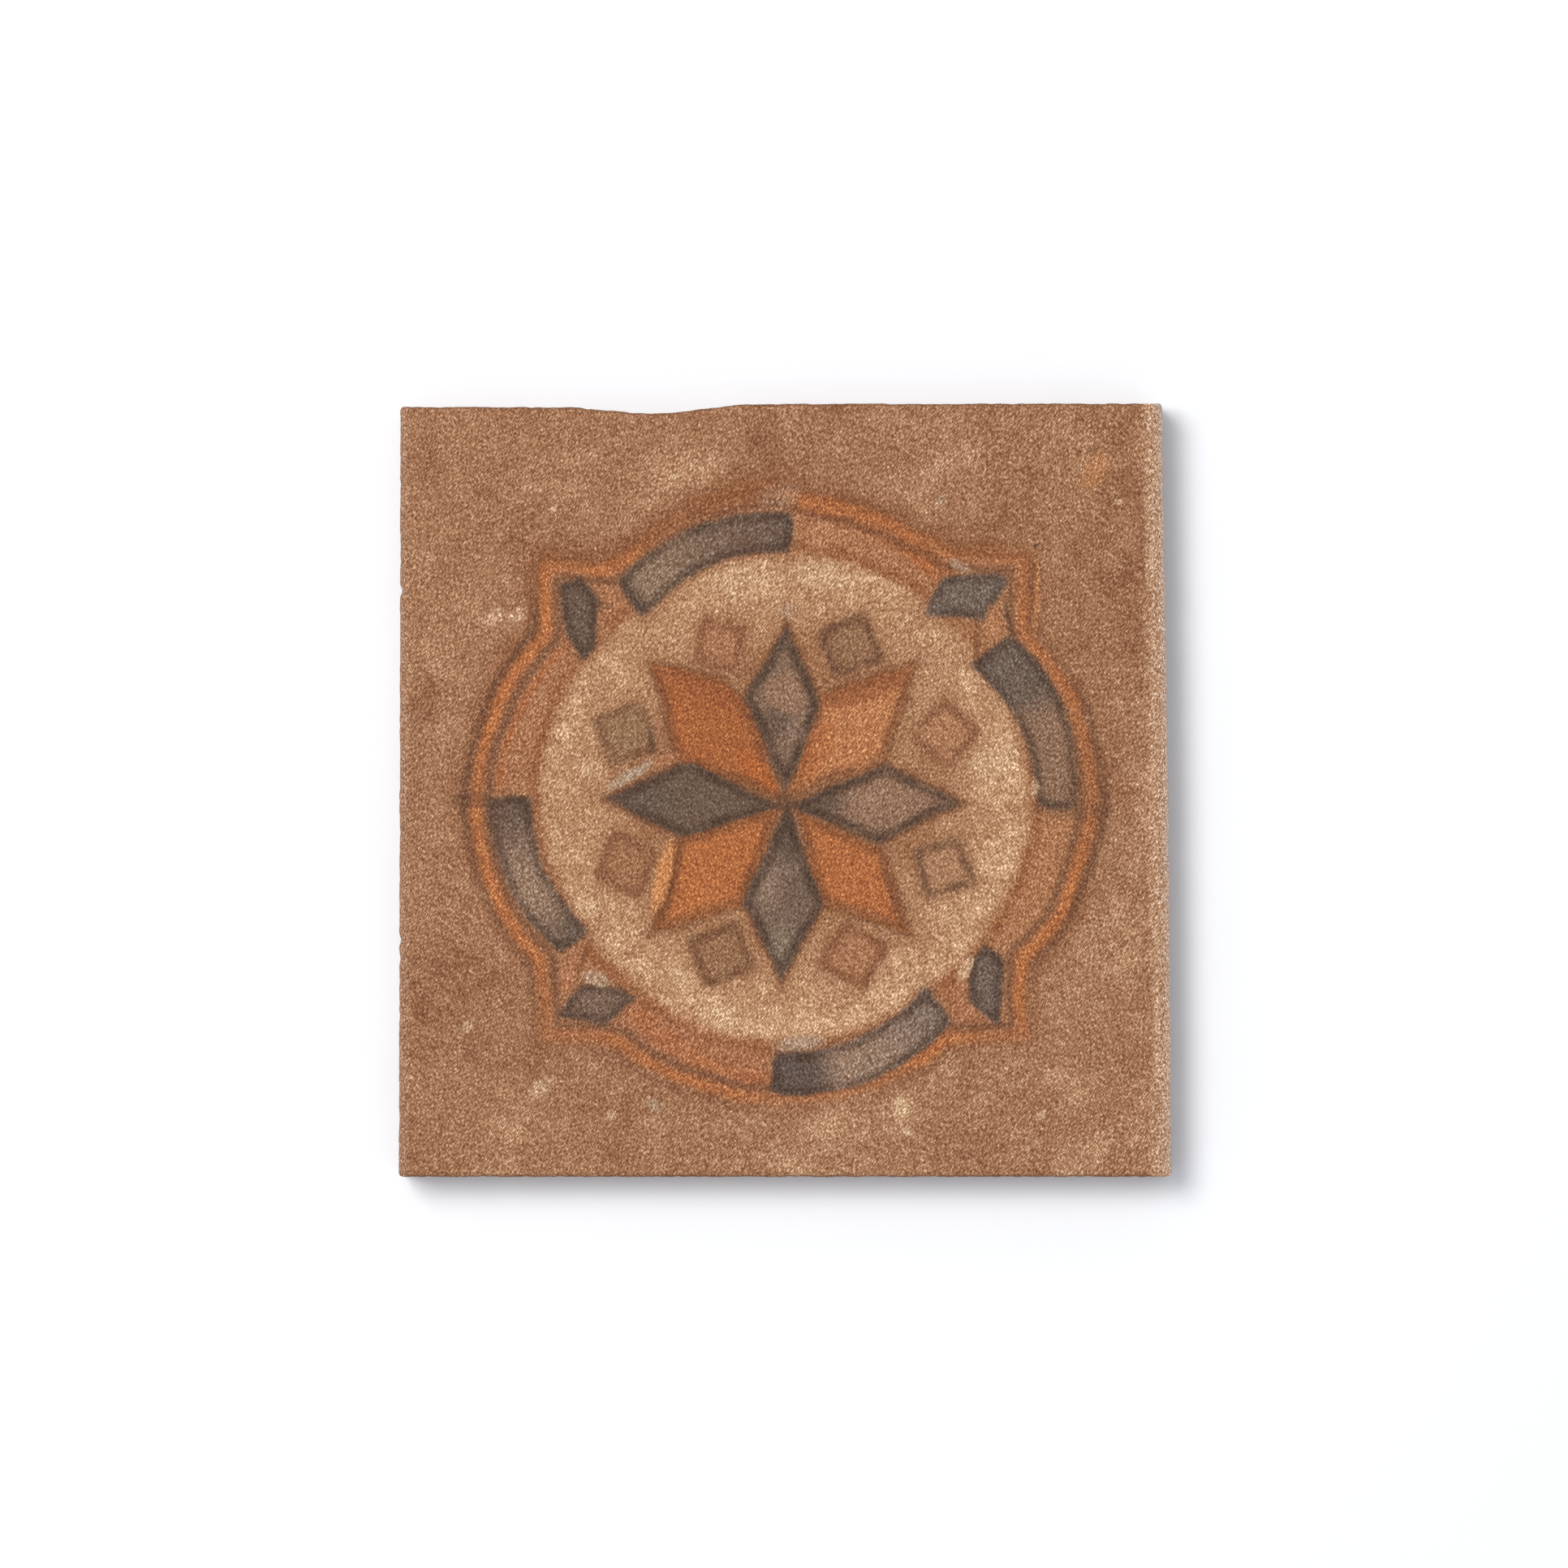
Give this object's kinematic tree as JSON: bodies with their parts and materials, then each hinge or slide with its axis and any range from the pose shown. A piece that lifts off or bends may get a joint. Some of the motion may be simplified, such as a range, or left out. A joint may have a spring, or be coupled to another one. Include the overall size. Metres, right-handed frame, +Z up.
{
  "type": "hand-painted porcelain tile",
  "caption": "Small square porcelain tile with a matte hand-painted star medallion face, rounded uneven edges and a keyed back, for wall or floor tiling.",
  "frame": {"origin": "middle of the plane that the tile lies on, under its back", "axes": "+Z up out of the painted face, +X to the right and +Y to the far edge as one looks down on the face"},
  "size_m": [0.1006, 0.1006, 0.009],
  "materials": {
    "painted_porcelain": "matte brown painted glaze with a cream disc and a rust and charcoal star medallion, over pale grey-beige porcelain"
  },
  "bodies": {
    "root": {"tile": "painted_porcelain"}
  },
  "joints": []
}
